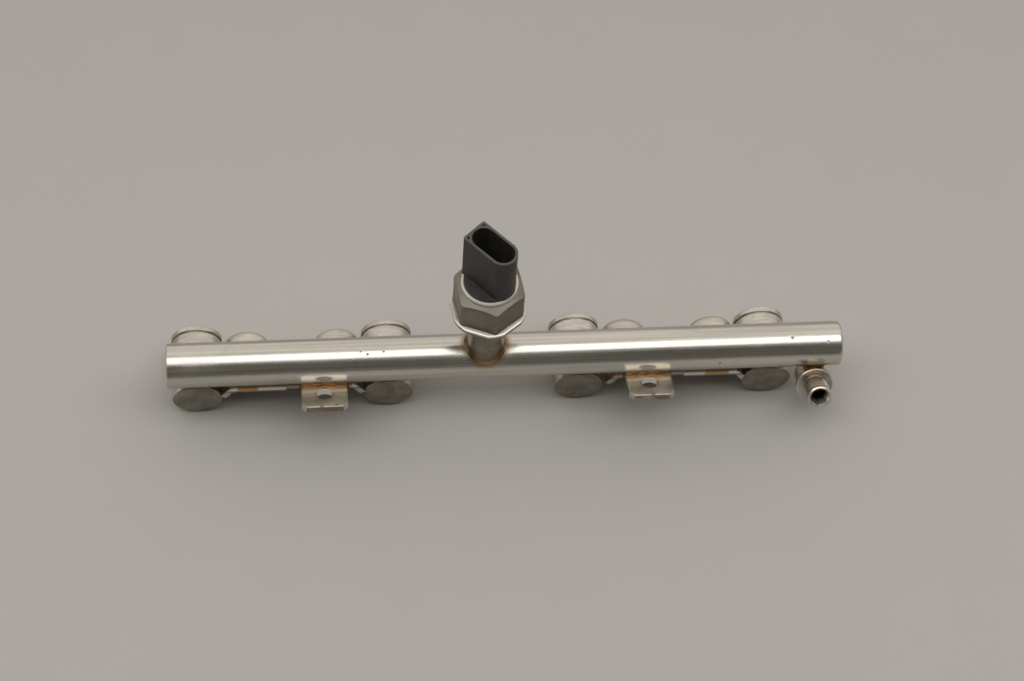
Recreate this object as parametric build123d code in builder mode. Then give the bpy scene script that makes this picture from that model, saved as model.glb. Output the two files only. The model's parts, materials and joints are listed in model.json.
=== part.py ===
from build123d import *
from math import atan2, cos, degrees, radians, sin
import os

os.makedirs("parts", exist_ok=True)

# A direct-injection fuel rail for a bank of four cylinders: a closed steel tube with
# injector cups, mounting brackets, an inlet fitting and a pressure sensor.
# X runs along the tube and Y from the front to the rear, where the injectors plug in.
# The origin is the middle of the footprint, on the surface that the cups rest on.
# Lengths are in millimetres and angles in degrees.

# What the tube carries, along its length: the sensor stands midway between the cups
cup_count = 4
cup_spacing = 90.0
tube_past_first_cup = 12.8
tube_past_last_cup = 33.6
inlet_past_last_cup = 22.0

# Rail tube
tube_diameter = 21.0
tube_wall = 3.0
tube_end_rounding = 1.8
tube_end_break = 0.5
plug_thickness = 6.0
plug_recess = 1.2
plug_dimple_diameter = 6.0
plug_dimple_depth = 1.0
feed_hole = 3.0
braze_gap = 0.05

# Injector cups
cup_drop = 19.5
cup_front = 7.8
cup_length = 33.5
cup_diameter = 23.2
cup_edge_break = 0.6
cup_rim_diameter = 24.0
cup_rim_width = 2.5
cup_rim_break = 0.3
cup_groove_width = 0.8
cup_groove_depth = 0.5
injector_bore = 14.0
injector_depth = 20.0
injector_mouth = 17.0
injector_lead_in = 3.0
injector_seat = 2.0
cup_feed_bore = 6.0
cup_floor = 4.0

# Stamped brackets
sheet = 2.8
sheet_edge_rounding = 0.7
bend_inside = 1.5
flap_bend_from_cup = 5.1
flange_setback = 2.5
flange_gap = 2.4
flange_clearance = 0.8
flange_corner = 4.0
bend_relief = 1.5
flap_angle = 58.0
flap_length = 7.6
tab_from_middle = 14.6
right_bracket_shift = 1.6
tab_width = 21.4
tab_rise = 26.0
tab_reach = 22.0
tab_corner = 2.3
tab_hole = 8.2
tab_hole_from_edge = 9.7
tab_slit = 0.8
web_step_width = 7.0
web_step_depth = 0.9

# Mounting sleeves
sleeve_gap = 1.2
sleeve_drop = 20.3
sleeve_diameter = 21.2
sleeve_rear = 24.0
sleeve_rounding = 3.5
sleeve_spigot = 13.0
sleeve_bolt_hole = 8.4
spigot_clearance = 0.1

# Inlet fitting
inlet_neck_angle = 58.0
inlet_neck_diameter = 10.0
inlet_neck_gap = 1.2
inlet_body_diameter = 15.0
inlet_body_back = 8.0
inlet_body_front = 3.2
inlet_body_break = 1.2
inlet_collar_diameter = 17.4
inlet_collar_width = 2.8
inlet_collar_break = 0.5
inlet_relief_diameter = 10.4
inlet_relief_width = 1.5
inlet_nose_diameter = 11.3
inlet_nose_length = 12.2
inlet_nose_break = 0.55
inlet_mouth = 9.2
inlet_seat_depth = 4.2
inlet_bore = 5.0
inlet_bore_past_neck = 2.8
inlet_feed_bore = 3.0

# Sensor boss
sensor_tilt = 3.6
boss_diameter = 17.5
boss_top = 39.4
boss_break = 0.8
thread_diameter = 12.0
thread_depth = 13.0
boss_passage = 6.0

# Pressure sensor housing, heights along its axis
thread_clearance = 0.1
shank_length = 11.0
shank_nose = 2.0
port_bore = 3.2
foot_across_flats = 33.4
foot_diameter = 35.1
foot_height = 2.6
foot_slope_height = 0.8
hexagon_across_flats = 29.6
hexagon_height = 16.5
hexagon_sides = 6
hexagon_turn = -21.9
hexagon_corner_diameter = 33.4
hexagon_bevel = 2.0
crimp_diameter = 26.0
crimp_height = 2.0
crimp_lip = 1.0
crimp_rounding = 0.6
cavity_diameter = 24.2
cavity_floor = 3.5
pedestal_diameter = 9.0
pedestal_height = 1.5
element_diameter = 8.0
element_height = 5.0
element_bore = 4.2
diaphragm = 0.8
ring_wall = 2.0
board_thickness = 1.2
board_gap = 1.0
inner_clearance = 0.1
seal_section = 1.5

# Connector
connector_turn = -47.5
connector_top = 28.2
connector_neck_diameter = 23.4
connector_neck_height = 1.6
shroud_width = 13.2
shroud_short_reach = 11.6
shroud_long_reach = 13.2
shroud_wall = 1.2
shroud_corner = 0.8
socket_depth = 21.0
pocket_depth = 19.0
board_room = 1.8
blade_count = 3
blade_spacing = 5.0
blade_width = 2.2
blade_thickness = 0.8
blade_tip_below_rim = 12.0
blade_tip_break = 0.25
blade_fit = 0.05

# Worked out from the above
tube_radius = tube_diameter / 2
tube_bore = tube_diameter - 2 * tube_wall
cup_radius = cup_diameter / 2
inlet_offset = tube_radius + inlet_neck_gap + inlet_body_diameter / 2
inlet_tip = inlet_body_front + inlet_collar_width + inlet_nose_length
neck_run = cos(radians(inlet_neck_angle))
neck_drop = sin(radians(inlet_neck_angle))
nose_rim = inlet_nose_diameter / 2 - inlet_nose_break
reach_front = inlet_tip * neck_drop + (inlet_offset + nose_rim) * neck_run
reach_rear = cup_length - cup_front
tube_y = (reach_front - reach_rear) / 2
tube_z = cup_drop + cup_rim_diameter / 2
cup_row = cup_spacing * (cup_count - 1)
tube_length = tube_past_first_cup + cup_row + tube_past_last_cup
first_cup = tube_past_first_cup - tube_length / 2
cup_places = [first_cup + cup_spacing * n for n in range(cup_count)]
sensor_x = first_cup + cup_row / 2
inlet_x = cup_places[-1] + inlet_past_last_cup
sleeve_from_cup = (cup_rim_diameter + sleeve_diameter) / 2 + sleeve_gap
web_half_width = (cup_spacing - cup_diameter) / 2 - flap_bend_from_cup
flange_half_width = (cup_spacing - cup_rim_diameter) / 2 - flange_gap


def across(x):
    """Plane square to the tube: local x runs to the rear and local y up."""
    return Plane(origin=(x, tube_y, tube_z), x_dir=(0, 1, 0), z_dir=(1, 0, 0))


def facing_rear(x, y, z):
    """Plane facing the rear at a place given from the tube's axis: local y is up."""
    return Plane(origin=(x, tube_y + y, tube_z + z), x_dir=(-1, 0, 0), z_dir=(0, 1, 0))


def facing_front(x, y, z):
    """Plane facing the front at a place given from the tube's axis: local y is up."""
    return Plane(origin=(x, tube_y + y, tube_z + z), x_dir=(1, 0, 0), z_dir=(0, -1, 0))


def save(piece, name):
    piece.part.label = name
    export_step(piece.part, f"parts/{name}.step")


sensor_plane = Plane(
    origin=(sensor_x, tube_y, tube_z),
    x_dir=(1, 0, 0),
    z_dir=(0, sin(radians(sensor_tilt)), cos(radians(sensor_tilt))),
)
sensor_axis = Axis(sensor_plane.origin, sensor_plane.z_dir)
sensor_section = Plane(
    origin=sensor_plane.origin, x_dir=sensor_plane.x_dir, z_dir=-sensor_plane.y_dir
)

# The inlet's own plane: local x runs out of the nose and local y away from the tube
inlet_plane = Plane(
    origin=(inlet_x, tube_y, tube_z),
    x_dir=(0, -neck_drop, neck_run),
    z_dir=(1, 0, 0),
)
neck_plane = Plane(
    origin=inlet_plane.origin, x_dir=inlet_plane.x_dir, z_dir=inlet_plane.y_dir
)
inlet_axis = Axis(inlet_plane.from_local_coords((0, inlet_offset, 0)), inlet_plane.x_dir)


# Rail tube, with a drilled port for each piece that it feeds
with BuildPart() as rail_tube:
    with BuildSketch(across(-tube_length / 2)):
        Circle(tube_radius)
        Circle(tube_bore / 2, mode=Mode.SUBTRACT)
    extrude(amount=tube_length)
    end_rings = rail_tube.edges().filter_by(GeomType.CIRCLE).group_by(Axis.X)
    fillet(end_rings[-1].sort_by(SortBy.RADIUS)[-1], tube_end_rounding)
    chamfer(end_rings[0].sort_by(SortBy.RADIUS)[-1], tube_end_break)
    for x in cup_places:
        with BuildSketch(Plane(origin=(x, tube_y, tube_z), z_dir=(0, 0, -1))):
            Circle(feed_hole / 2)
        extrude(amount=tube_diameter, mode=Mode.SUBTRACT)
    with BuildSketch(sensor_plane):
        Circle(boss_passage / 2)
    extrude(amount=tube_diameter, mode=Mode.SUBTRACT)
    with BuildSketch(neck_plane):
        Circle(inlet_feed_bore / 2)
    extrude(amount=tube_diameter, mode=Mode.SUBTRACT)
save(rail_tube, "rail_tube")


# Plugs brazed into the two ends, each with a shallow turned dimple outside
for name, side in (("end_plug_left", -1), ("end_plug_right", 1)):
    outer_face = side * (tube_length / 2 - plug_recess)
    with BuildPart() as end_plug:
        with BuildSketch(across(outer_face)):
            Circle(tube_bore / 2 - braze_gap)
        extrude(amount=-side * plug_thickness)
        with BuildSketch(across(outer_face)):
            Circle(plug_dimple_diameter / 2)
        extrude(amount=-side * plug_dimple_depth, mode=Mode.SUBTRACT)
    save(end_plug, name)


# Injector cups, turned with a rim at the mouth and saddled to fit under the tube
cup_back = reach_rear
rim_start = cup_back - cup_rim_width
rim_radius = cup_rim_diameter / 2
groove_start = rim_start - cup_groove_width
groove_radius = cup_radius - cup_groove_depth
bore_end = cup_back - injector_depth
floor_inside = cup_floor - cup_front
cup_outline = [
    (floor_inside, 0),
    (-cup_front, 0),
    (-cup_front, cup_radius - cup_edge_break),
    (-cup_front + cup_edge_break, cup_radius),
    (groove_start, cup_radius),
    (groove_start, groove_radius),
    (rim_start, groove_radius),
    (rim_start, rim_radius - cup_rim_break),
    (rim_start + cup_rim_break, rim_radius),
    (cup_back - cup_rim_break, rim_radius),
    (cup_back, rim_radius - cup_rim_break),
    (cup_back, injector_mouth / 2),
    (cup_back - injector_lead_in, injector_bore / 2),
    (bore_end, injector_bore / 2),
    (bore_end - injector_seat, cup_feed_bore / 2),
    (floor_inside, cup_feed_bore / 2),
]
for number, x in enumerate(cup_places, start=1):
    with BuildPart() as injector_cup:
        with BuildSketch(across(x)):
            with BuildLine():
                Polyline([(y, radius - cup_drop) for y, radius in cup_outline], close=True)
            make_face()
        revolve(axis=Axis((x, tube_y, tube_z - cup_drop), (0, 1, 0)))
        with BuildSketch(across(x - cup_rim_diameter)):
            Circle(tube_radius + braze_gap)
        extrude(amount=2 * cup_rim_diameter, mode=Mode.SUBTRACT)
        with BuildSketch(Plane(origin=(x, tube_y, tube_z - cup_drop))):
            Circle(feed_hole / 2)
        extrude(amount=cup_drop, mode=Mode.SUBTRACT)
    save(injector_cup, f"injector_cup_{number}")


# Stamped brackets. Each is one sheet: a web under the tube, a flange turned down behind
# it, a flap turned down at each end, and a tab that wraps up round the tube's front.
wrap_radius = tube_radius + braze_gap
web_top = -wrap_radius
bend_outside = bend_inside + sheet
flange_rear = flange_setback + sheet
flange_bottom = flange_clearance - tube_z
flange_height = web_top - bend_outside - bend_relief - flange_bottom
flap_run = flap_length * cos(radians(flap_angle))
flap_drop = flap_length * sin(radians(flap_angle))
tab_run = cos(radians(tab_rise))
tab_lift = sin(radians(tab_rise))
for name, side, shift in (("bracket_left", -1, 0), ("bracket_right", 1, right_bracket_shift)):
    pair_middle = sensor_x + side * cup_spacing
    middle = pair_middle + shift
    tab_x = middle - side * tab_from_middle
    with BuildPart() as bracket:
        # Web, and the flange behind it
        with BuildSketch(across(middle - web_half_width)):
            with BuildLine():
                FilletPolyline(
                    (-cup_front, web_top),
                    (flange_rear, web_top),
                    (flange_rear, flange_bottom),
                    radius=bend_outside,
                )
                offset(amount=sheet, side=Side.RIGHT)
            make_face()
        extrude(amount=2 * web_half_width)
        with BuildSketch(facing_rear(pair_middle, flange_setback, flange_bottom + flange_height / 2)):
            RectangleRounded(2 * flange_half_width, flange_height, flange_corner)
        extrude(amount=sheet)
        # Flaps that turn down to the cups' sides, rounded in front and trimmed to the cups
        for end in (-1, 1):
            flap_start = middle + end * (web_half_width - bend_outside)
            flap_corner = middle + end * (web_half_width + bend_inside)
            with BuildSketch(facing_front(0, -cup_front, 0)):
                with BuildLine():
                    FilletPolyline(
                        (flap_start, web_top),
                        (flap_corner, web_top),
                        (flap_corner + end * flap_run, web_top - flap_drop),
                        radius=bend_outside,
                    )
                    offset(amount=sheet, side=Side.RIGHT if end > 0 else Side.LEFT)
                make_face()
            extrude(amount=-(cup_front + flange_setback - bend_relief))
        front_edges = bracket.faces().sort_by(Axis.Y)[0].edges()
        fillet(front_edges.sort_by(Axis.Z)[-1], sheet_edge_rounding)
        for end in (-1, 1):
            cup_x = pair_middle + end * cup_spacing / 2
            with BuildSketch(facing_rear(cup_x, -2 * cup_front, -cup_drop)):
                Circle(cup_radius + braze_gap)
            extrude(amount=4 * cup_front, mode=Mode.SUBTRACT)
        # Room for the tab, and the step in the web's edge beside it
        with BuildSketch(Plane(origin=(tab_x, tube_y - cup_front, tube_z + web_top))):
            Rectangle(tab_width + 2 * tab_slit, 2 * cup_front)
            with Locations((side * (tab_width + web_step_width) / 2, 0)):
                Rectangle(web_step_width, 2 * web_step_depth)
        extrude(amount=-sheet, mode=Mode.SUBTRACT)
        # Tab: a bend round the tube, then a flat with its corners cut off and a hole
        with BuildSketch(across(tab_x - tab_width / 2)):
            with BuildLine():
                Line((flange_setback, web_top), (0, web_top))
                CenterArc((0, 0), wrap_radius, -90, -tab_rise)
                offset(amount=sheet, side=Side.LEFT)
            make_face()
        extrude(amount=tab_width)
        tab_plane = Plane(
            origin=(tab_x, tube_y - wrap_radius * tab_lift, tube_z - wrap_radius * tab_run),
            x_dir=(1, 0, 0),
            z_dir=(0, -tab_lift, -tab_run),
        )
        with BuildSketch(tab_plane) as tab_flat:
            Rectangle(tab_width, tab_reach, align=(Align.CENTER, Align.MIN))
            chamfer(tab_flat.vertices().group_by(Axis.Y)[-1], tab_corner)
            with Locations((0, tab_reach - tab_hole_from_edge)):
                Circle(tab_hole / 2, mode=Mode.SUBTRACT)
        extrude(amount=sheet)
        # Holes that the mounting sleeves' spigots sit in
        for end in (-1, 1):
            sleeve_x = pair_middle + end * (cup_spacing / 2 - sleeve_from_cup)
            with BuildSketch(facing_rear(sleeve_x, flange_setback, -sleeve_drop)):
                Circle(sleeve_spigot / 2 + spigot_clearance)
            extrude(amount=sheet, mode=Mode.SUBTRACT)
    save(bracket, name)


# Mounting sleeves, each with a spigot in the flange and a rounded rear edge
sleeve_reach = cup_spacing / 2 - sleeve_from_cup
sleeve_places = [
    sensor_x + side * cup_spacing + end * sleeve_reach for side in (-1, 1) for end in (-1, 1)
]
for number, x in enumerate(sleeve_places, start=1):
    front_plane = facing_rear(x, flange_setback, -sleeve_drop)
    with BuildPart() as mounting_sleeve:
        with BuildSketch(front_plane.offset(sheet)):
            Circle(sleeve_diameter / 2)
        extrude(amount=sleeve_rear - flange_rear)
        rear_ring = mounting_sleeve.edges().filter_by(GeomType.CIRCLE).sort_by(Axis.Y)[-1]
        fillet(rear_ring, sleeve_rounding)
        with BuildSketch(front_plane):
            Circle(sleeve_spigot / 2)
        extrude(amount=sheet)
        with BuildSketch(front_plane):
            Circle(sleeve_bolt_hole / 2)
        extrude(amount=sleeve_rear, mode=Mode.SUBTRACT)
        with BuildSketch(across(x - sleeve_diameter)):
            Circle(tube_radius + braze_gap)
        extrude(amount=2 * sleeve_diameter, mode=Mode.SUBTRACT)
    save(mounting_sleeve, f"mounting_sleeve_{number}")


# Inlet fitting: a neck square to the tube, and across it a body with a collar and a nose
body_radius = inlet_body_diameter / 2
collar_radius = inlet_collar_diameter / 2
collar_end = inlet_body_front + inlet_collar_width
nose_start = collar_end + inlet_relief_width
nose_radius = inlet_nose_diameter / 2
seat_end = inlet_tip - inlet_seat_depth
inlet_outline = [
    (-inlet_bore_past_neck, 0),
    (-inlet_body_back, 0),
    (-inlet_body_back, body_radius - inlet_body_break),
    (-inlet_body_back + inlet_body_break, body_radius),
    (inlet_body_front, body_radius),
    (inlet_body_front, collar_radius - inlet_collar_break),
    (inlet_body_front + inlet_collar_break, collar_radius),
    (collar_end - inlet_collar_break, collar_radius),
    (collar_end, collar_radius - inlet_collar_break),
    (collar_end, inlet_relief_diameter / 2),
    (nose_start, inlet_relief_diameter / 2),
    (nose_start, nose_radius),
    (inlet_tip - inlet_nose_break, nose_radius),
    (inlet_tip, nose_rim),
    (inlet_tip, inlet_mouth / 2),
    (seat_end, inlet_bore / 2),
    (-inlet_bore_past_neck, inlet_bore / 2),
]
with BuildPart() as inlet_fitting:
    with BuildSketch(inlet_plane):
        with BuildLine():
            Polyline([(run, inlet_offset + radius) for run, radius in inlet_outline], close=True)
        make_face()
    revolve(axis=inlet_axis)
    with BuildSketch(neck_plane):
        Circle(inlet_neck_diameter / 2)
    extrude(amount=inlet_offset - (inlet_bore / 2 + body_radius) / 2)
    with BuildSketch(neck_plane):
        Circle(inlet_feed_bore / 2)
    extrude(amount=inlet_offset, mode=Mode.SUBTRACT)
    with BuildSketch(across(inlet_plane.origin.X - inlet_collar_diameter)):
        Circle(tube_radius + braze_gap)
    extrude(amount=2 * inlet_collar_diameter, mode=Mode.SUBTRACT)
save(inlet_fitting, "inlet_fitting")


# Sensor boss, saddled on top of the tube, with the sensor's thread in its top
with BuildPart() as sensor_boss:
    with BuildSketch(sensor_plane):
        Circle(boss_diameter / 2)
    extrude(amount=boss_top)
    chamfer(sensor_boss.edges().filter_by(GeomType.CIRCLE).sort_by(Axis.Z)[-1], boss_break)
    with BuildSketch(sensor_plane):
        Circle(boss_passage / 2)
    extrude(amount=boss_top, mode=Mode.SUBTRACT)
    with BuildSketch(sensor_plane.offset(boss_top - thread_depth)):
        Circle(thread_diameter / 2)
    extrude(amount=thread_depth, mode=Mode.SUBTRACT)
    with BuildSketch(across(sensor_x - boss_diameter)):
        Circle(tube_radius + braze_gap)
    extrude(amount=2 * boss_diameter, mode=Mode.SUBTRACT)
save(sensor_boss, "sensor_boss")


# Pressure sensor housing: threaded shank, foot, hexagon, and a cup whose lip is crimped
# over the connector. Its turned form is cut to six flats, over a foot with a sloping top.
foot_top = boss_top + foot_height
hexagon_top = foot_top + hexagon_height
crimp_top = hexagon_top + crimp_height
floor_level = foot_top + cavity_floor
pedestal_top = floor_level + pedestal_height
shank_end = boss_top - shank_length
shank_radius = thread_diameter / 2 - thread_clearance
foot_slope_run = (foot_across_flats - hexagon_across_flats) / 2
foot_slope_angle = degrees(atan2(foot_slope_run, foot_slope_height))
hexagon_radius = hexagon_corner_diameter / 2
cavity_radius = cavity_diameter / 2
inner_radius = cavity_radius - inner_clearance
neck_radius = connector_neck_diameter / 2
crimp_radius = crimp_diameter / 2
housing_outline = [
    (0, shank_end),
    (shank_radius - shank_nose, shank_end),
    (shank_radius, shank_end + shank_nose),
    (shank_radius, boss_top),
    (hexagon_radius, boss_top),
    (hexagon_radius, hexagon_top - hexagon_bevel),
    (crimp_radius, hexagon_top),
    (crimp_radius, crimp_top - crimp_rounding),
    (crimp_radius - crimp_rounding, crimp_top),
    (neck_radius + inner_clearance, crimp_top),
    (neck_radius + inner_clearance, crimp_top - crimp_lip),
    (cavity_radius, crimp_top - crimp_lip),
    (cavity_radius, floor_level),
    (pedestal_diameter / 2, floor_level),
    (pedestal_diameter / 2, pedestal_top),
    (0, pedestal_top),
]
with BuildPart() as sensor_housing:
    with BuildSketch(sensor_section):
        with BuildLine():
            Polyline(housing_outline, close=True)
        make_face()
    revolve(axis=sensor_axis)
    with BuildSketch(sensor_plane.offset(boss_top)):
        Circle(foot_diameter)
        with Locations(Location((0, 0, 0), (0, 0, hexagon_turn))):
            RegularPolygon(
                hexagon_across_flats / 2, hexagon_sides, major_radius=False, mode=Mode.SUBTRACT
            )
    extrude(amount=hexagon_top - boss_top, mode=Mode.SUBTRACT)
    foot_wall = (boss_top, foot_height - foot_slope_height, 0)
    foot_slope = (foot_top - foot_slope_height, foot_slope_height, foot_slope_angle)
    for level, height, lean in (foot_wall, foot_slope):
        with BuildSketch(sensor_plane.offset(level)):
            Circle(foot_diameter / 2)
            with Locations(Location((0, 0, 0), (0, 0, hexagon_turn))):
                RegularPolygon(
                    foot_across_flats / 2, hexagon_sides, major_radius=False, mode=Mode.INTERSECT
                )
        extrude(amount=height, taper=lean)
    with BuildSketch(sensor_plane.offset(shank_end)):
        Circle(port_bore / 2)
    extrude(amount=pedestal_top - shank_end, mode=Mode.SUBTRACT)
save(sensor_housing, "sensor_housing")


# Sensing element: a steel cap over the pressure port, thin at its top
with BuildPart() as sensing_element:
    with BuildSketch(sensor_plane.offset(pedestal_top)):
        Circle(element_diameter / 2)
    extrude(amount=element_height)
    with BuildSketch(sensor_plane.offset(pedestal_top)):
        Circle(element_bore / 2)
    extrude(amount=element_height - diaphragm, mode=Mode.SUBTRACT)
save(sensing_element, "sensing_element")


# Ring on the housing's floor, and the round board that it carries over the element
board_level = pedestal_top + element_height + board_gap
with BuildPart() as element_ring:
    with BuildSketch(sensor_plane.offset(floor_level)):
        Circle(inner_radius)
        Circle(inner_radius - ring_wall, mode=Mode.SUBTRACT)
    extrude(amount=board_level - floor_level)
save(element_ring, "element_ring")

with BuildPart() as sensor_board:
    with BuildSketch(sensor_plane.offset(board_level)):
        Circle(inner_radius)
    extrude(amount=board_thickness)
save(sensor_board, "sensor_board")


# Rubber seal between the board's edge and the connector
board_top = board_level + board_thickness
with BuildPart() as sensor_seal:
    with BuildSketch(sensor_plane.offset(board_top)):
        Circle(inner_radius)
        Circle(inner_radius - seal_section, mode=Mode.SUBTRACT)
    extrude(amount=seal_section)
save(sensor_seal, "sensor_seal")


# Connector: a round base held by the crimp, and on it a shroud that is round at one end
# and square at the other, where a pocket lies behind each corner
skirt_bottom = board_top + seal_section
skirt_top = crimp_top - crimp_lip
neck_top = crimp_top + connector_neck_height
rim_level = crimp_top + connector_top
shroud_half = shroud_width / 2
shroud_inside = shroud_half - shroud_wall
round_centre = shroud_long_reach - shroud_half
square_centre = shroud_half - shroud_short_reach
long_axis = sensor_plane.x_dir.rotate(Axis((0, 0, 0), sensor_plane.z_dir), connector_turn)
connector_plane = Plane(origin=sensor_plane.origin, x_dir=long_axis, z_dir=sensor_plane.z_dir)
blade_places = [blade_spacing * (n - (blade_count - 1) / 2) for n in range(blade_count)]
blade_middle = (round_centre + square_centre) / 2
with BuildPart() as sensor_connector:
    with BuildSketch(sensor_plane.offset(skirt_bottom)):
        Circle(inner_radius)
    extrude(amount=skirt_top - skirt_bottom)
    with BuildSketch(sensor_plane.offset(skirt_top)):
        Circle(neck_radius)
    extrude(amount=neck_top - skirt_top)
    with BuildSketch(sensor_plane.offset(skirt_bottom)):
        Circle(inner_radius - 2 * seal_section)
    extrude(amount=board_room, mode=Mode.SUBTRACT)
    with BuildSketch(connector_plane.offset(neck_top)) as shroud_outline:
        with Locations((round_centre, 0)):
            Rectangle(
                shroud_short_reach + round_centre, shroud_width, align=(Align.MAX, Align.CENTER)
            )
        fillet(shroud_outline.vertices().group_by(Axis.X)[0], shroud_corner)
        with Locations((round_centre, 0)):
            Circle(shroud_half)
    extrude(amount=rim_level - neck_top)
    with BuildSketch(connector_plane.offset(rim_level)):
        with Locations((blade_middle, 0)):
            SlotCenterToCenter(round_centre - square_centre, 2 * shroud_inside)
    extrude(amount=-socket_depth, mode=Mode.SUBTRACT)
    with BuildSketch(connector_plane.offset(rim_level)):
        with Locations((shroud_wall - shroud_short_reach, 0)):
            Rectangle(shroud_half, shroud_width - 2 * shroud_wall, align=(Align.MIN, Align.CENTER))
        with Locations((square_centre, 0)):
            Circle(shroud_half, mode=Mode.SUBTRACT)
            Rectangle(shroud_width, shroud_width, align=(Align.MIN, Align.CENTER), mode=Mode.SUBTRACT)
    extrude(amount=-pocket_depth, mode=Mode.SUBTRACT)
    with BuildSketch(connector_plane.offset(skirt_bottom)):
        with Locations([(blade_middle + step, 0) for step in blade_places]):
            Rectangle(blade_width + 2 * blade_fit, blade_thickness + 2 * blade_fit)
    extrude(amount=rim_level - skirt_bottom, mode=Mode.SUBTRACT)
save(sensor_connector, "sensor_connector")


# Contact blades, standing on the board and reaching up into the socket
blade_tip = rim_level - blade_tip_below_rim
for number, step in enumerate(blade_places, start=1):
    with BuildPart() as sensor_terminal:
        with BuildSketch(connector_plane.offset(board_top)):
            with Locations((blade_middle + step, 0)):
                Rectangle(blade_width, blade_thickness)
        extrude(amount=blade_tip - board_top)
        tip_face = sensor_terminal.faces().sort_by(sensor_axis)[-1]
        chamfer(tip_face.edges(), blade_tip_break)
    save(sensor_terminal, f"sensor_terminal_{number}")
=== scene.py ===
import bpy
import json
import numpy as np
from mathutils import Matrix


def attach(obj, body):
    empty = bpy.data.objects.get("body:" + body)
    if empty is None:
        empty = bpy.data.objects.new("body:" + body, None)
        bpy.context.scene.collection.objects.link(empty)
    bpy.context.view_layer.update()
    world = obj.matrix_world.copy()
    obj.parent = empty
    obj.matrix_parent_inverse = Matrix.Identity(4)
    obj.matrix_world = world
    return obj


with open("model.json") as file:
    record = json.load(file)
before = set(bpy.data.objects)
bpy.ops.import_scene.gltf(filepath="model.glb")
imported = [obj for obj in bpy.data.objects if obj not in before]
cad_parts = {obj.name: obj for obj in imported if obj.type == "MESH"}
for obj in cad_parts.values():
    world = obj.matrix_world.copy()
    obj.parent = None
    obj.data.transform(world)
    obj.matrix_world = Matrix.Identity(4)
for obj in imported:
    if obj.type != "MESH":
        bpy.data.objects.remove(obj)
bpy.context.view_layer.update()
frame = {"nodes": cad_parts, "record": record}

nodes = frame["nodes"]
print("rail loaded,", len(nodes), "pieces")


# places shared by the pieces below, in metres
rail = {
    "axisY": 0.0013058, "axisZ": 0.0315,  # the tube's own axis, which runs along X
    "tubeRadius": 0.0105,
    "sensorX": -0.0104, "sensorTilt": 3.6,  # degrees, towards the rear
    "cups": [-0.1454, -0.0554, 0.0346, 0.1246],
    "inletX": 0.1466, "inletTurn": 58.0,
}
axisPoint = np.array([0.0, rail["axisY"], rail["axisZ"]])
tilt = np.radians(rail["sensorTilt"])
sensorUp = np.array([0.0, np.sin(tilt), np.cos(tilt)])
sensorFoot = axisPoint + [rail["sensorX"], 0, 0]
inletTurn = np.radians(rail["inletTurn"])
inletOut = np.array([0.0, -np.sin(inletTurn), np.cos(inletTurn)])  # out of the nose
inletAway = np.array([0.0, -np.cos(inletTurn), -np.sin(inletTurn)])  # from the tube to the nose's axis
inletFoot = axisPoint + [rail["inletX"], 0, 0]


def gridFaces(m, n, closeU=True, closeV=True):
    # each cell of an m by n grid is one four-sided face, wrapped round where the grid is closed
    u = np.arange(m if closeU else m - 1)
    v = np.arange(n if closeV else n - 1)
    i, j = np.meshgrid(u, v, indexing="ij")
    i2, j2 = (i + 1) % m, (j + 1) % n
    return np.stack([i * n + j, i2 * n + j, i2 * n + j2, i * n + j2], axis=-1).reshape(-1, 4)


def meshPiece(name, points, faces, ends=()):
    # the faces are smooth and the ends are flat
    mesh = bpy.data.meshes.new(name)
    mesh.from_pydata(points.reshape(-1, 3).tolist(), [], faces.tolist() + list(ends))
    mesh.update()
    mesh.polygons.foreach_set("use_smooth", np.arange(len(mesh.polygons)) < len(faces))
    piece = bpy.data.objects.new(name, mesh)
    bpy.context.scene.collection.objects.link(piece)
    return piece


def signedVolume(points, faces):
    # sum over the faces of the corner's dot product with the cross product of the next two
    a, b, c, d = (points[faces[:, k]] for k in range(4))
    return (np.einsum("ij,ij->i", a, np.cross(b, c)) + np.einsum("ij,ij->i", a, np.cross(c, d))).sum() / 6


def closedGrid(name, points):
    # a ring of closed sections; turned over if its faces point inwards
    faces = gridFaces(*points.shape[:2])
    if signedVolume(points.reshape(-1, 3), faces) < 0:
        points = points[:, ::-1]
    return meshPiece(name, points, faces)


# braze, a hollow curve of metal between two surfaces
braze = {
    "bossUp": 0.0016, "bossOut": 0.0013,
    "neckUp": 0.0013, "neckOut": 0.0013,
    "cupUp": 0.0010, "cupOut": 0.0010,
    "sink": 0.0003, "steps": 96, "curve": 7,
}


def unit(v):
    return v / np.linalg.norm(v, axis=-1, keepdims=True)


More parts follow.
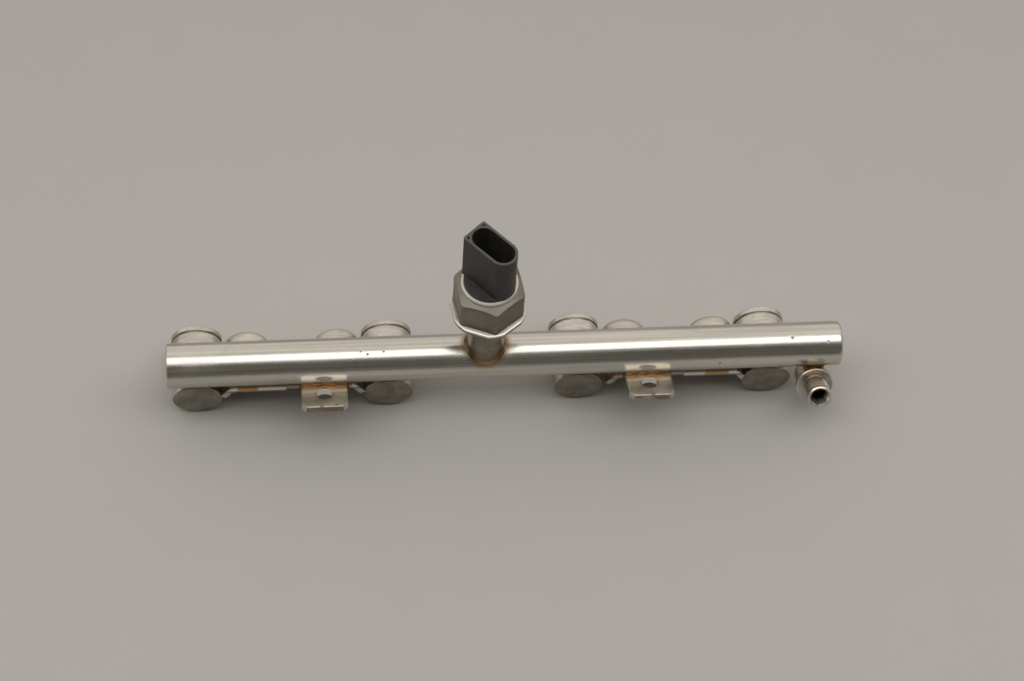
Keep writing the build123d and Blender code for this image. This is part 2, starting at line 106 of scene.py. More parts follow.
def brazeRing(name, corner, tubeNormal, branchNormal, up, out):
    # corner is the closed line where two surfaces meet. From it, one edge goes up the branch and
    # one out over the tube, each square to the line, and a parabola that hollows towards the corner
    # joins them. The section closes through a point sunk a little into both surfaces.
    along = unit(np.roll(corner, -1, axis=0) - np.roll(corner, 1, axis=0))
    upWay = np.cross(along, branchNormal)
    upWay = unit(upWay * np.sign(np.einsum("ij,ij->i", upWay, tubeNormal))[:, None])
    outWay = np.cross(along, tubeNormal)
    outWay = unit(outWay * np.sign(np.einsum("ij,ij->i", outWay, branchNormal))[:, None])
    a = corner + up * upWay
    b = corner + out * outWay
    ring = unit((b - axisPoint) * [0, 1, 1])
    b = b * [1, 0, 0] + axisPoint * [0, 1, 1] + ring * (rail["tubeRadius"] + 0.00003)
    s = np.linspace(0, 1, braze["curve"])[None, :, None]
    face = (1 - s) ** 2 * a[:, None] + 2 * s * (1 - s) * corner[:, None] + s ** 2 * b[:, None]
    lift = 0.00004 * unit(tubeNormal + branchNormal)[:, None]
    sunkOut = b[:, None] - braze["sink"] * tubeNormal[:, None]
    sunk = corner[:, None] - braze["sink"] * (tubeNormal + branchNormal)[:, None]
    sunkUp = a[:, None] - braze["sink"] * branchNormal[:, None]
    return closedGrid(name, np.concatenate([face + lift, sunkOut, sunk, sunkUp], axis=1))


def squareBranch(name, foot, axis, across, radius, up, out):
    # a round branch whose axis meets the tube's: its wall is radius away from that axis, and it
    # meets the tube where the height is the root of tube radius squared less the side step squared
    turn = np.linspace(0, 2 * np.pi, braze["steps"], endpoint=False)[:, None]
    side = radius * np.sin(turn)
    height = np.sqrt(rail["tubeRadius"] ** 2 - side ** 2)
    lengthways = np.array([1.0, 0, 0])
    corner = foot + radius * np.cos(turn) * lengthways + side * across + height * axis
    tubeNormal = unit(side * across + height * axis)
    branchNormal = np.cos(turn) * lengthways + np.sin(turn) * across
    return brazeRing(name, corner, tubeNormal, branchNormal, up, out)


def cupBranch(name, x, radius, drop, up, out):
    # a cup that lies across under the tube: the height runs from the tube's underside up to the
    # cup's top and back, and both half widths are roots of radius squared less height squared
    turn = np.linspace(0, 2 * np.pi, braze["steps"], endpoint=False)
    reachY = np.sqrt(rail["tubeRadius"] ** 2 - (drop - radius) ** 2)
    y = reachY * np.sin(turn)
    z = -np.sqrt(rail["tubeRadius"] ** 2 - y ** 2)
    width = np.sqrt(np.maximum(radius ** 2 - (z + drop) ** 2, 0))
    corner = np.stack([x + np.sign(np.cos(turn)) * width, y, z], axis=1)
    corner += [0, rail["axisY"], rail["axisZ"]]
    tubeNormal = unit((corner - axisPoint) * [0, 1, 1])
    branchNormal = unit(corner * [1, 0, 1] - np.array([x, 0, rail["axisZ"] - drop]))
    return brazeRing(name, corner, tubeNormal, branchNormal, up, out)


bossBraze = squareBranch(
    "boss_braze", sensorFoot, sensorUp, np.array([0.0, np.cos(tilt), -np.sin(tilt)]),
    0.00875, braze["bossUp"], braze["bossOut"])
neckBraze = squareBranch(
    "neck_braze", inletFoot, inletAway, inletOut, 0.005, braze["neckUp"], braze["neckOut"])
cupBrazes = [
    cupBranch("cup_braze_%d" % (n + 1), x, 0.0116, 0.0195, braze["cupUp"], braze["cupOut"])
    for n, x in enumerate(rail["cups"])]
ringSlots = [(bossBraze, "boss_steel"), (neckBraze, "fitting_steel")] + [(p, "cup_steel") for p in cupBrazes]
for piece, slot in ringSlots:
    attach(piece, "root")
print("braze rings made")


# braze along each bracket, in the wedge between its flat sheet and the tube
tabs = {
    "left": {"x": -0.0858, "half": 0.0107}, "right": {"x": 0.0666, "half": 0.0107},
    "rise": 26.0, "reach": 0.0064, "wrap": 34.0,  # degrees
}
webs = {
    "left": (-0.1264, -0.0973), "right": (0.0781, 0.1049),
    "reach": 0.0036, "wrap": 20.0,
}


def wedgeBraze(name, x0, x1, turnDown, reach, wrap, steps=60):
    # the sheet touches the tube at turnDown degrees past its underside, and leaves it along the
    # tangent. The face is a quadratic curve from the point reach out along the sheet to the point
    # wrap degrees round the tube. Its control point is where the two tangents cross, which lies
    # radius times the tangent of half the wrap out along the sheet, so it runs out into both.
    t, w = np.radians(turnDown), np.radians(wrap)
    down = np.array([-np.sin(t), -np.cos(t)])
    outward = np.array([-np.cos(t), np.sin(t)])
    r = rail["tubeRadius"]
    sheetPoint = (r + 0.00008) * down + reach * outward
    crossing = r * down + r * np.tan(w / 2) * outward
    tubePoint = (r - 0.00005) * (np.cos(w) * down + np.sin(w) * outward)
    root = (r - 0.0002) * down + 0.3 * reach * outward
    s = np.linspace(0, 1, 9)[:, None]
    face = (1 - s) ** 2 * sheetPoint + 2 * s * (1 - s) * crossing + s ** 2 * tubePoint
    section = np.concatenate([face, root[None]], axis=0)
    x = np.linspace(x0, x1, steps)[:, None]
    wave = 1 + 0.10 * np.sin(x * 900) + 0.06 * np.sin(x * 2300 + 1)  # the edge wanders a little
    ends = np.clip(np.minimum(x - x0, x1 - x) / 0.0012, 0, 1) ** 0.5
    grow = (wave * (0.25 + 0.75 * ends))[:, :, None]
    grown = root + (section[None] - root) * grow
    places = np.concatenate([np.broadcast_to(x[:, :, None], (steps, len(section), 1)), grown], axis=2)
    return closedEnds(name, places + axisPoint * [0, 1, 1])


def closedEnds(name, points):
    # a bar of closed sections, with one many-sided face at each end
    m, n = points.shape[:2]
    faces = gridFaces(m, n, closeU=False)
    flat = points.reshape(-1, 3)
    if signedVolume(flat - flat.mean(axis=0), faces) < 0:
        faces = faces[:, ::-1]
        ends = [list(range(n)), list(range(m * n - 1, (m - 1) * n - 1, -1))]
    else:
        ends = [list(range(n - 1, -1, -1)), list(range((m - 1) * n, m * n))]
    return meshPiece(name, points, faces, ends)


tabBrazes, webBrazes = [], []
for side in ("left", "right"):
    x, half = tabs[side]["x"], tabs[side]["half"]
    tabBrazes.append(wedgeBraze(
        "tab_braze_" + side, x - half, x + half, tabs["rise"], tabs["reach"], tabs["wrap"]))
    webBrazes.append(wedgeBraze("web_braze_" + side, *webs[side], 0.0, webs["reach"], webs["wrap"]))
for piece in tabBrazes + webBrazes:
    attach(piece, "root")
print("bracket brazes made")


# thread on the inlet's nose
thread = {
    "root": 0.00565, "depth": 0.00025, "pitch": 0.0015, "start": 0.0077, "end": 0.0173,
    "offset": 0.0192, "round": 72, "perTurn": 10,
}


def noseThread(name):
    # radius is the root plus a blunt ridge that climbs one pitch in each turn round the axis, faded
    # out to the root at both ends; an inner wall just under the root closes the piece
    turns = (thread["end"] - thread["start"]) / thread["pitch"]
    rows = int(turns * thread["perTurn"]) + 1
    d = np.linspace(thread["start"], thread["end"], rows)[:, None]
    turn = np.linspace(0, 2 * np.pi, thread["round"], endpoint=False)[None, :]
    phase = (d / thread["pitch"] - turn / (2 * np.pi)) % 1.0
    off = np.abs(phase - 0.5)  # how far round from the crest, in pitches
    ridge = 0.5 * np.clip(1.85 - 4.2 * off, 0, 1) + 0.5 * np.clip(1.3 - 3.4 * off, 0, 1)
    fade = np.clip(np.minimum(d - thread["start"], thread["end"] - d) / (0.7 * thread["pitch"]), 0, 1)
    radius = thread["root"] - 0.00002 + thread["depth"] * ridge * fade + 0 * turn
    inner = thread["root"] - 0.0003
    d = np.concatenate([d, d[-1:], d[:1]])
    radius = np.concatenate([radius, np.full((2, thread["round"]), inner)])
    sideways = np.array([1.0, 0, 0])
    around = np.cos(turn)[..., None] * sideways + np.sin(turn)[..., None] * inletAway
    centre = inletFoot + thread["offset"] * inletAway
    points = centre + d[:, :, None] * inletOut + radius[:, :, None] * around
    return closedGrid(name, points)


inletThread = noseThread("inlet_thread")
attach(inletThread, "root")
print("thread cut")


# a socket that takes part in sums, and a tree with one method that adds any node
class Socket:
    def __init__(self, paint, link):
        self.paint, self.link = paint, link

    def math(self, operation, *others):
        return self.paint.node("Math", {"operation": operation}, dict(enumerate((self,) + others)))

    def __add__(self, other): return self.math("ADD", other)
    def __sub__(self, other): return self.math("SUBTRACT", other)
    def __mul__(self, other): return self.math("MULTIPLY", other)
    def __truediv__(self, other): return self.math("DIVIDE", other)
    def __pow__(self, other): return self.math("POWER", other)
    def __rsub__(self, other): return self.paint.node("Math", {"operation": "SUBTRACT"}, {0: other, 1: self})
    def __rtruediv__(self, other): return self.paint.node("Math", {"operation": "DIVIDE"}, {0: other, 1: self})
    __radd__, __rmul__ = __add__, __mul__

    def hypotenuse(self, other): return (self * self + other * other) ** 0.5
    def atLeast(self, other): return self.math("MAXIMUM", other)
    def atMost(self, other): return self.math("MINIMUM", other)
    def clamp(self): return self.atLeast(0.0).atMost(1.0)
    def away(self): return self.math("ABSOLUTE")


class Tree:
    def __init__(self, tree, output):
        self.tree = tree
        self.place = self.node("TexCoord", output=output)
        self.x, self.y, self.z = (self.node("SeparateXYZ", values={0: self.place}, output=k) for k in range(3))

    def node(self, kind, settings=None, values=None, output=0):
        node = self.tree.nodes.new("ShaderNode" + kind)
        for key, value in (settings or {}).items():
            if key == "stops":
                stops = node.color_ramp.elements
                while len(stops) > 1:
                    stops.remove(stops[-1])
                stops[0].position = value[0][0]
                stops[0].color = (*value[0][1], 1)
                for position, colour in value[1:]:
                    stops.new(position).color = (*colour, 1)
            else:
                setattr(node, key, value)
        for key, value in (values or {}).items():
            self.feed(node.inputs[key], value)
        return Socket(self, node.outputs[output])

    def feed(self, target, value):
        # a link for a socket, and a plain value otherwise; a colour is given its alpha
        if isinstance(value, Socket):
            self.tree.links.new(value.link, target)
        elif isinstance(value, tuple) and target.type == "RGBA":
            target.default_value = (*value, 1)
        else:
            target.default_value = value

    def stretch(self, sx, sy, sz):
        return self.node("Mapping", None, {"Vector": self.place, "Scale": (sx, sy, sz)})

    def noise(self, scale, detail=4.0, rough=0.55, place=None, warp=0.0):
        return self.node("TexNoise", None, {
            "Vector": place or self.place, "Scale": scale, "Detail": detail, "Roughness": rough, "Distortion": warp})

    def step(self, value, low, high):
        return self.node("MapRange", {"interpolation_type": "SMOOTHSTEP"}, {
            "Value": value, "From Min": low, "From Max": high})

    def within(self, value, low, high, soft):
        # one between low and high, and nothing outside, with soft edges
        return self.step(value, low - soft, low + soft) * (1 - self.step(value, high - soft, high + soft))

    def either(self, masks):
        total = masks[0]
        for mask in masks[1:]:
            total = total.atLeast(mask)
        return total

    def far(self, point):
        return self.node("VectorMath", {"operation": "DISTANCE"}, {0: self.place, 1: tuple(point)}, output="Value")

    def along(self, point, way):
        # signed distance from point along the unit direction way
        start = float(np.dot(point, way))
        dot = self.node("VectorMath", {"operation": "DOT_PRODUCT"}, {0: self.place, 1: tuple(way)}, output="Value")
        return dot - start

    def mix(self, mask, low, high):
        return self.node("Mix", {"data_type": "RGBA"}, {0: mask, 6: low, 7: high}, output=2)

    def ramp(self, value, stops):
        return self.node("ValToRGB", {"stops": stops}, {0: value})

    def bump(self, height, distance, strength=1.0, under=None):
        values = {"Height": height, "Distance": distance, "Strength": strength}
        if under is not None:
            values["Normal"] = under
        return self.node("Bump", None, values)

    def edges(self, radius):
        return self.node("Bevel", {"samples": 4}, {"Radius": radius})


class Paint(Tree):
    def __init__(self, name):
        self.material = bpy.data.materials.new(name)
        self.material.use_nodes = True
        super().__init__(self.material.node_tree, "Object")
        self.shader = self.tree.nodes["Principled BSDF"]

    def finish(self, **sockets):
        for key, value in sockets.items():
            self.feed(self.shader.inputs[key.replace("_", " ")], value)
        return self.material


def wear(paint, colour, brown, amount):
    # faint brown handling marks that gather in soft patches
    patch = paint.step(paint.noise(55.0, 5.0, 0.6), 0.55, 0.75)
    speck = paint.step(paint.noise(420.0, 3.0, 0.6), 0.60, 0.72)
    return paint.mix((patch * 0.7 + speck * 0.5).clamp() * amount, colour, brown)


# drawn tube: fine lines along its length, heat colours beside the boss and the inlet, painted shade in warm brown on
# its lower side beside the brackets, a few small pits
tubeLook = {
    "light": (0.66, 0.635, 0.585), "dark": (0.50, 0.48, 0.43), "brown": (0.30, 0.21, 0.12),
    "straw": (0.60, 0.47, 0.28), "shadeBrown": (0.42, 0.35, 0.26), "rough": 0.23,
    "brackets": [-0.1004, 0.0812],
    "pits": [(-0.06857, -0.00037, 0.04187, 0.00055), (-0.06539, -0.00189, 0.0415, 0.0006),
             (-0.05794, -0.00075, 0.0418, 0.00055), (0.13396, -0.00086, 0.04178, 0.0008),
             (0.15091, -0.00323, 0.04097, 0.0005), (0.09966, -0.00887, 0.03407, 0.0006)],
}


def tubePaint():
    p = Paint("tube_steel")
    look = tubeLook
    lines = p.noise(1.0, 3.0, 0.6, p.stretch(9, 900, 900))
    broad = p.noise(1.0, 2.0, 0.5, p.stretch(6, 160, 160))
    cloud = p.noise(38.0, 4.0, 0.6)
    tone = lines * 0.55 + broad * 0.45
    colour = p.mix(p.step(tone, 0.35, 0.65), look["dark"], look["light"])
    colour = wear(p, colour, (0.38, 0.31, 0.22), 0.35)
    # heat from the boss and the inlet, and painted shade on the lower side beside the brackets
    ripple = (cloud - 0.5) * 0.006
    boss = 1 - p.step(p.far(sensorFoot + 0.0105 * sensorUp) + ripple, 0.0095, 0.0145)
    inlet = 1 - p.step(p.far(inletFoot + 0.0105 * inletAway) + ripple, 0.0065, 0.0115)
    # painted shade: the tube's lower side near each bracket is darkened to a warm brown
    under = (1 - p.step(p.z + ripple * 0.4, 0.0245, 0.0330)) * p.either([
        p.within(p.x + ripple, middle - 0.030, middle + 0.030, 0.006) for middle in look["brackets"]])
    stain = p.step(cloud + boss * 0.35, 0.55, 0.85)
    colour = p.mix(boss * 0.30, colour, look["straw"])
    colour = p.mix(boss * stain, colour, look["brown"])
    colour = p.mix(inlet * 0.8, colour, look["straw"])
    colour = p.mix((inlet - 0.4).clamp() * 1.2, colour, look["brown"])
    # mixes in the painted shade on the lower side beside the brackets
    colour = p.mix(under * 0.6, colour, look["shadeBrown"])
    ragged = (p.noise(1300.0) - 0.5) * 0.0012
    pits = p.either([
        1 - p.step(p.far((x, y, z)) + ragged, r * 0.5, r * 1.5) for x, y, z, r in look["pits"]])
    colour = p.mix(pits * 0.6, colour, (0.12, 0.10, 0.075))
    rough = look["rough"] + (tone - 0.5) * 0.20 + p.step(cloud, 0.5, 0.8) * 0.10 + boss * 0.12 + pits * 0.4
    height = tone * 0.5 + pits * -1.2
    return p.finish(Base_Color=colour, Metallic=1 - pits * 0.4, Roughness=rough,
                    Normal=p.bump(height, 0.00012, 0.35, p.edges(0.0003)))


# turned cups: dull, with faint rings round the axis, and front faces darkened as painted shade
def cupPaint():
    p = Paint("cup_steel")
    rings = p.noise(1.0, 2.0, 0.6, p.stretch(60, 1500, 60))
    cloud = p.noise(120.0, 5.0, 0.65, warp=0.5)
    grain = p.noise(1400.0, 2.0, 0.5)
    face = 1 - p.step(p.y, -0.0064, -0.0058)  # the flat front face
    side = p.mix(p.step(rings * 0.6 + cloud * 0.4, 0.35, 0.7), (0.45, 0.42, 0.37), (0.66, 0.63, 0.57))
    # painted shade: the flat front faces get a darker colour, standing in for a dark reflection
    front = p.mix(p.step(cloud, 0.35, 0.68), (0.24, 0.222, 0.186), (0.37, 0.345, 0.29))
    colour = p.mix(face, side, front)
    colour = wear(p, colour, (0.20, 0.14, 0.08), 0.5)
    rough = 0.26 + cloud * 0.12 + face * 0.22
    return p.finish(Base_Color=colour, Metallic=1.0, Roughness=rough,
                    Normal=p.bump(rings * 0.4 + grain * (0.25 + face * 0.6), 0.0001, 0.5, p.edges(0.00025)))


# stamped brackets: pale satin sheet; the web's front edge has a painted highlight along its top, painted shade on
# its lower part and copper on parts of it; the tabs' cut ends have painted shade in brown and a painted highlight on
# their upper edge
sheetLook = {
    "grey": (0.52, 0.48, 0.41), "pale": (0.66, 0.62, 0.55), "paintedHighlight": (0.88, 0.85, 0.79),
    "copper": (0.62, 0.36, 0.17), "dimEdge": (0.30, 0.28, 0.24),
    "cutEnd": (0.27, 0.21, 0.15),
    "copperSpans": [(-0.1265, -0.1165), (-0.0755, -0.0725), (0.0520, 0.0550), (0.0950, 0.1060)],
    "stepSpans": [(-0.1035, -0.0966), (0.0774, 0.0843)],
    "spots": [(-0.0873, 0.0220, 0.0012), (-0.0805, 0.0210, 0.0011), (0.0671, 0.0216, 0.0013)],  # x, reach, radius
}


def bracketPaint():
    p = Paint("bracket_steel")
    look = sheetLook
    rise = np.radians(tabs["rise"])
    down = np.array([0.0, -np.sin(rise), -np.cos(rise)])
    outward = np.array([0.0, -np.cos(rise), np.sin(rise)])
    reach, depth = p.along(axisPoint, outward), p.along(axisPoint + 0.01055 * down, down)
    cloud = p.noise(90.0, 5.0, 0.6)
    grain = p.noise(1500.0, 2.0, 0.5)
    wander = (cloud - 0.5) * 0.004
    colour = p.mix(p.step(cloud, 0.3, 0.7), look["grey"], look["pale"])
    colour = wear(p, colour, (0.33, 0.22, 0.12), 0.6)
    nearTube = 1 - p.step(tubeGap(p) + wander * 0.5, 0.0008, 0.0030)
    colour = p.mix(nearTube * 0.55, colour, look["copper"])
    front = (1 - p.step(p.y, -0.0060, -0.0053)) * (1 - p.step(reach, 0.0125, 0.0130)) * p.step(p.z, 0.0172, 0.0178)
    copper = p.either([p.within(p.x + wander, low, high, 0.0008) for low, high in look["copperSpans"]])
    dimEdge = p.either([p.within(p.x, low, high, 0.0002) for low, high in look["stepSpans"]])
    # the web's front edge: a painted highlight, copper on some spans, and a darker colour on the set-back spans
    edge = p.mix(dimEdge, p.mix(copper, look["paintedHighlight"], look["copper"]), look["dimEdge"])
    # painted shade on the lower part of the web's front edge
    edge = p.mix(1 - p.step(p.z, 0.0187, 0.0198), edge, look["dimEdge"])
    colour = p.mix(front * (1 - p.step(reach, 0.0100, 0.0105)), colour, edge)
    # painted shade in brown on the tabs' cut ends
    cut = p.step(reach + wander * 0.1, 0.02170, 0.02195)
    colour = p.mix(cut * p.step(cloud, 0.25, 0.55), colour, look["cutEnd"])
    # painted highlight along the upper edge of the tabs' cut ends
    colour = p.mix(cut * (1 - p.step(depth, 0.0003, 0.0006)), colour, look["paintedHighlight"])
    spots = p.either([
        1 - p.step(p.far(axisPoint + [x, 0, 0] + 0.01055 * down + out * outward) + wander * 0.3, r * 0.5, r)
        for x, out, r in look["spots"]])
    colour = p.mix(spots * 0.8, colour, look["cutEnd"])
    return p.finish(Base_Color=colour, Metallic=1.0, Roughness=0.30 + cloud * 0.12,
                    Normal=p.bump(grain * 0.6 + cloud * 0.2, 0.0001, 0.4, p.edges(0.00035)))


def tubeGap(p):
    # distance from the tube's wall: the root of the squares of the side and up steps, less its radius
    y, z = p.y - rail["axisY"], p.z - rail["axisZ"]
    return y.hypotenuse(z) - rail["tubeRadius"]


# braze metal: copper or brown, mottled between a light and a dark tone
def brazePaint(name, light, dark):
    p = Paint(name)
    cloud = p.noise(260.0, 4.0, 0.6)
    fine = p.noise(1100.0, 2.0, 0.5)
    colour = p.mix(p.step(cloud * 0.7 + fine * 0.3, 0.35, 0.65), dark, light)
    return p.finish(Base_Color=colour, Metallic=1.0, Roughness=0.24 + cloud * 0.25,
                    Normal=p.bump(cloud + fine * 0.4, 0.00015, 0.5))


# braze round the boss: dark brown and blotched, with copper where it ran down to the front
def bossBrazePaint():
    p = Paint("braze_boss")
    blotch = p.noise(190.0, 5.0, 0.65)
    fine = p.noise(1100.0, 2.0, 0.5)
    colour = p.mix(p.step(blotch, 0.38, 0.62), (0.105, 0.074, 0.045), (0.24, 0.168, 0.098))
    front = 1 - p.step(p.y + (blotch - 0.5) * 0.006, -0.0082, -0.0046)
    colour = p.mix(front * p.step(blotch, 0.26, 0.54), colour, (0.52, 0.30, 0.145))
    return p.finish(Base_Color=colour, Metallic=0.9, Roughness=0.38 + blotch * 0.22,
                    Normal=p.bump(blotch + fine * 0.4, 0.00018, 0.6))


# turned sleeves, satin and slightly yellow
def sleevePaint():
    p = Paint("sleeve_steel")
    cloud = p.noise(80.0, 4.0, 0.6)
    rings = p.noise(1.0, 2.0, 0.6, p.stretch(60, 1300, 60))
    colour = p.mix(p.step(rings * 0.5 + cloud * 0.5, 0.35, 0.68), (0.46, 0.43, 0.36), (0.62, 0.58, 0.50))
    colour = wear(p, colour, (0.25, 0.18, 0.10), 0.5)
    return p.finish(Base_Color=colour, Metallic=1.0, Roughness=0.30 + cloud * 0.15,
                    Normal=p.bump(rings, 0.00008, 0.4, p.edges(0.00025)))


# bright turned inlet, brown towards the neck, with painted shade in its thread roots and inside its nose
def inletPaint():
    p = Paint("fitting_steel")
    d = p.along(inletFoot + 0.0192 * inletAway, inletOut)
    away = p.along(inletFoot, inletAway)
    rings = p.node("TexWave", {"wave_type": "BANDS", "bands_direction": "X"}, {
        "Vector": p.node("CombineXYZ", None, {0: d}), "Scale": 900.0, "Distortion": 0.0}, output=1)
    cloud = p.noise(160.0, 4.0, 0.6)
    colour = p.mix(p.step(cloud, 0.3, 0.7), (0.60, 0.58, 0.53), (0.75, 0.73, 0.68))
    colour = wear(p, colour, (0.25, 0.19, 0.12), 0.4)
    brown = (1 - p.step(away + (cloud - 0.5) * 0.004, 0.0115, 0.0165))
    rear = 1 - p.step(d + (cloud - 0.5) * 0.002, 0.0020, 0.0036)
    colour = p.mix((brown * 0.7 + rear * 0.2).clamp(), colour, (0.36, 0.24, 0.13))
    # painted shade in the thread roots
    side = away - thread["offset"]
    low = 1 - p.step((p.x - rail["inletX"]).hypotenuse(side), 0.00568, 0.00584)
    groove = low * p.within(d, 0.0079, 0.0170, 0.0002)
    colour = p.mix(groove * 0.7, colour, (0.22, 0.20, 0.17))
    # painted shade inside the nose's bore
    inside = 1 - p.step(p.far(inletFoot + 0.0192 * inletAway + 0.0120 * inletOut), 0.0030, 0.0055)
    colour = p.mix(inside * 0.8, colour, (0.10, 0.09, 0.075))
    return p.finish(Base_Color=colour, Metallic=1.0, Roughness=0.20 + cloud * 0.18,
                    Normal=p.bump(rings * 0.4 + cloud * 0.3, 0.00006, 0.4, p.edges(0.0002)))


# boss: brown from the brazing at its foot, grey above
def bossPaint():
    p = Paint("boss_steel")
    cloud = p.noise(140.0, 5.0, 0.65)
    h = p.along(sensorFoot, sensorUp)
    colour = p.mix(p.step(cloud, 0.3, 0.7), (0.20, 0.18, 0.14), (0.33, 0.30, 0.245))
    colour = wear(p, colour, (0.15, 0.10, 0.055), 0.7)
    low = 1 - p.step(h + (cloud - 0.5) * 0.008, 0.0085, 0.0190)
    colour = p.mix(low * 0.8, colour, (0.20, 0.135, 0.08))
    rim = 1 - p.step(h + (cloud - 0.5) * 0.003, 0.0040, 0.0085)
    colour = p.mix(rim, colour, (0.40, 0.21, 0.095))
    return p.finish(Base_Color=colour, Metallic=1.0, Roughness=0.34 + cloud * 0.16,
                    Normal=p.bump(cloud, 0.00012, 0.4, p.edges(0.00025)))


# sensor housing: dull plated flats, a painted highlight along the foot's edge, painted shade just below the crimped
# ring, and a light crimped ring
def housingPaint():
    p = Paint("sensor_steel")
    h = p.along(sensorFoot, sensorUp)
    cloud = p.noise(75.0, 5.0, 0.6)
    grain = p.noise(1300.0, 3.0, 0.6)
    colour = p.mix(p.step(cloud, 0.3, 0.72), (0.19, 0.175, 0.145), (0.29, 0.27, 0.23))
    rim = p.within(h, 0.0402, 0.0415, 0.0003)  # the foot's edge, where a painted highlight goes
    crimp = p.step(h, 0.0585, 0.0588)
    cone = p.within(h, 0.0563, 0.0585, 0.0003)
    pale = p.mix(cloud, (0.56, 0.53, 0.47), (0.72, 0.69, 0.63))
    # painted shade on the band just below the crimped ring
    colour = p.mix(cone * 0.6, colour, (0.17, 0.16, 0.135))
    # the pale colour is a painted highlight on the foot's edge, and the crimped ring's own light colour
    colour = p.mix((rim + crimp).clamp(), colour, pale)
    colour = wear(p, colour, (0.22, 0.16, 0.09), 0.45)
    return p.finish(Base_Color=colour, Metallic=1 - crimp * 0.6, Roughness=0.40 + cloud * 0.14 - rim * 0.10,
                    Normal=p.bump(grain * 0.6 + cloud * 0.3, 0.0001, 0.4, p.edges(0.0004)))


# connector: black glass-filled plastic, greyer on its rim and edges, with dust
def plasticPaint():
    p = Paint("connector_plastic")
    h = p.along(sensorFoot, sensorUp)
    grain = p.noise(1800.0, 3.0, 0.6)
    cloud = p.noise(110.0, 4.0, 0.6)
    streak = p.noise(1.0, 3.0, 0.6, p.stretch(500, 500, 40))
    colour = p.mix(p.step(cloud * 0.5 + streak * 0.5, 0.35, 0.70), (0.021, 0.0202, 0.019), (0.043, 0.0415, 0.038))
    rim = p.step(h, 0.0882, 0.0886)
    colour = p.mix(rim * 0.85, colour, (0.065, 0.061, 0.060))
    dust = p.step(p.noise(600.0, 2.0, 0.6), 0.66, 0.74)
    colour = p.mix(dust * 0.25, colour, (0.16, 0.15, 0.14))
    return p.finish(Base_Color=colour, Roughness=0.46 + cloud * 0.14 - rim * 0.08,
                    Normal=p.bump(grain, 0.00006, 0.5, p.edges(0.0003)))


def plugPaint():
    p = Paint("plug_steel")
    rings = p.node("TexWave", {"wave_type": "RINGS", "rings_direction": "X"}, {
        "Vector": p.node("VectorMath", {"operation": "SUBTRACT"}, {0: p.place, 1: tuple(axisPoint)}),
        "Scale": 700.0, "Distortion": 0.6, "Detail": 1.0}, output=1)
    cloud = p.noise(200.0, 4.0, 0.6)
    colour = p.mix(p.step(cloud, 0.3, 0.7), (0.40, 0.37, 0.32), (0.60, 0.57, 0.51))
    colour = wear(p, colour, (0.25, 0.16, 0.09), 0.6)
    return p.finish(Base_Color=colour, Metallic=1.0, Roughness=0.28 + cloud * 0.15,
                    Normal=p.bump(rings, 0.00005, 0.5, p.edges(0.0002)))


def softPaint(name, low, high, rough, scale, metallic=0.0):
    # rubber, board and moulded inner pieces, and the blades: a mottled tone with a fine grain
    p = Paint(name)
    cloud = p.noise(scale, 4.0, 0.6)
    grain = p.noise(scale * 8, 2.0, 0.5)
    colour = p.mix(p.step(cloud, 0.3, 0.7), low, high)
    return p.finish(Base_Color=colour, Metallic=metallic, Roughness=rough + cloud * 0.12,
                    Normal=p.bump(grain, 0.00005, 0.4, p.edges(0.0001)))


looks = {
    "tube_steel": tubePaint(), "cup_steel": cupPaint(), "bracket_steel": bracketPaint(),
    "sleeve_steel": sleevePaint(), "fitting_steel": inletPaint(), "boss_steel": bossPaint(),
    "sensor_steel": housingPaint(), "connector_plastic": plasticPaint(), "plug_steel": plugPaint(),
    "seal_rubber": softPaint("seal_rubber", (0.018, 0.018, 0.018), (0.03, 0.03, 0.03), 0.6, 300.0),
    "ring_plastic": softPaint("ring_plastic", (0.60, 0.56, 0.45), (0.72, 0.68, 0.58), 0.45, 200.0),
    "board": softPaint("board", (0.02, 0.12, 0.05), (0.04, 0.18, 0.09), 0.35, 400.0),
    "element_steel": softPaint("element_steel", (0.55, 0.54, 0.52), (0.68, 0.67, 0.64), 0.25, 500.0, 1.0),
    "blade_brass": softPaint("blade_brass", (0.62, 0.58, 0.48), (0.76, 0.72, 0.62), 0.25, 500.0, 1.0),
}
slotOf = {row["node"]: row["material_slot"] for row in frame["record"]["subparts"]}
for name, node in nodes.items():
    look = looks[slotOf[name]]
    for slot in node.material_slots:
        slot.link = "OBJECT"
        slot.material = look
copper = brazePaint("braze_copper", (0.82, 0.52, 0.29), (0.50, 0.28, 0.13))
brown = brazePaint("braze_brown", (0.36, 0.21, 0.105), (0.13, 0.085, 0.05))
for piece in tabBrazes + webBrazes:
    piece.data.materials.append(copper)
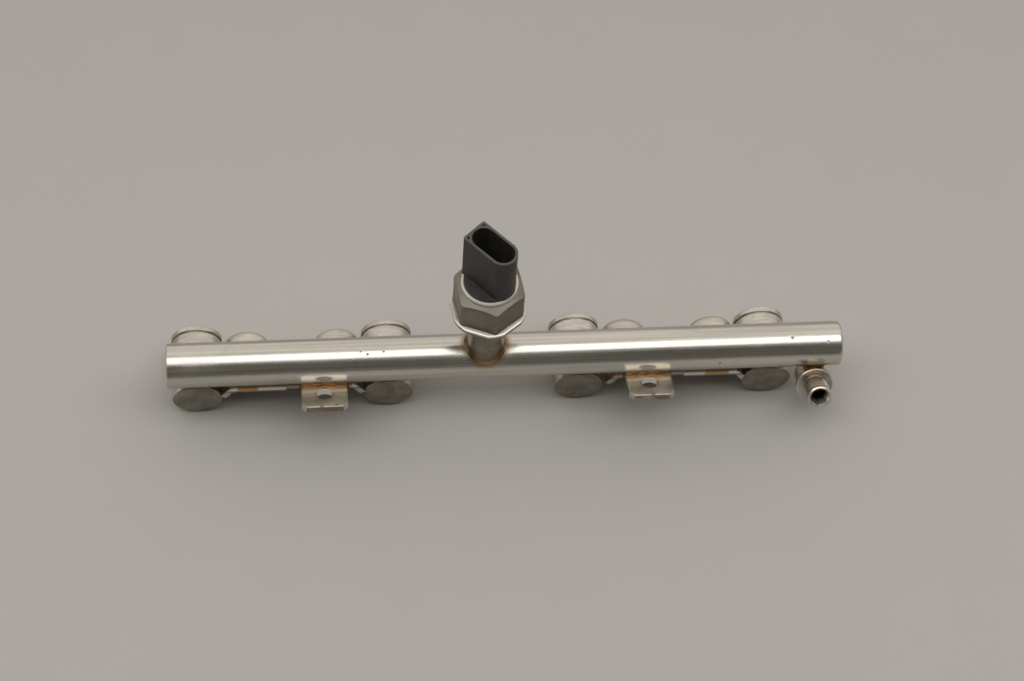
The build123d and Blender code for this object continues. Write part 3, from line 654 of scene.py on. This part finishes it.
for piece in cupBrazes + [neckBraze]:
    piece.data.materials.append(brown)
bossBraze.data.materials.append(bossBrazePaint())
inletThread.data.materials.append(looks["fitting_steel"])
print("painted")


# floor, light and camera
studio = {
    "floor": (0.42, 0.408, 0.39), "rear": (0.86, 0.82, 0.76), "front": (0.13, 0.125, 0.115),
    "box": 8.7,
}
corners = np.array([[-3, -3, 0], [-3, 3, 0], [3, -3, 0], [3, 3, 0]], dtype=float)
floor = meshPiece("floor", corners, gridFaces(2, 2, False, False))
p = Paint("floor")
speckle = p.noise(30.0, 4.0, 0.6)
p.finish(Base_Color=p.mix(speckle, tuple(c * 0.97 for c in studio["floor"]), studio["floor"]), Roughness=0.85)
floor.data.materials.append(p.material)

world = bpy.data.worlds.new("studio")
bpy.context.scene.world = world
world.use_nodes = True
sky = Tree(world.node_tree, "Generated")
dome = sky.mix(sky.step(sky.y, -0.55, 0.45), studio["front"], studio["rear"])
sky.feed(sky.tree.nodes["Background"].inputs["Color"], dome)

lamp = bpy.data.lights.new("softbox", "AREA")
lamp.shape = "RECTANGLE"
lamp.size, lamp.size_y = 2.4, 0.57
lamp.energy = studio["box"]
lamp.color = (1.0, 0.985, 0.96)
box = bpy.data.objects.new("softbox", lamp)
box.location = (0.0, -0.105, 1.05)
bpy.context.scene.collection.objects.link(box)

view = {
    "right": (0.99616825, -0.06994714, 0.05249965), "up": (0.03441543, 0.86537384, 0.49994369),
    "back": (-0.08040145, -0.49622124, 0.86446521), "place": (-0.09357440, -0.58752579, 1.07011408),
    "lens": 89.77,
}
camera = bpy.data.objects.new("camera", bpy.data.cameras.new("camera"))
camera.data.lens = view["lens"]
camera.data.sensor_width = 36.0
camera.data.clip_start = 0.01
turned = Matrix([view["right"], view["up"], view["back"]]).transposed().to_4x4()
camera.matrix_world = Matrix.Translation(view["place"]) @ turned
bpy.context.scene.collection.objects.link(camera)
bpy.context.scene.camera = camera
bpy.context.scene.view_settings.view_transform = "Standard"
print("studio set")

bpy.context.view_layer.update()
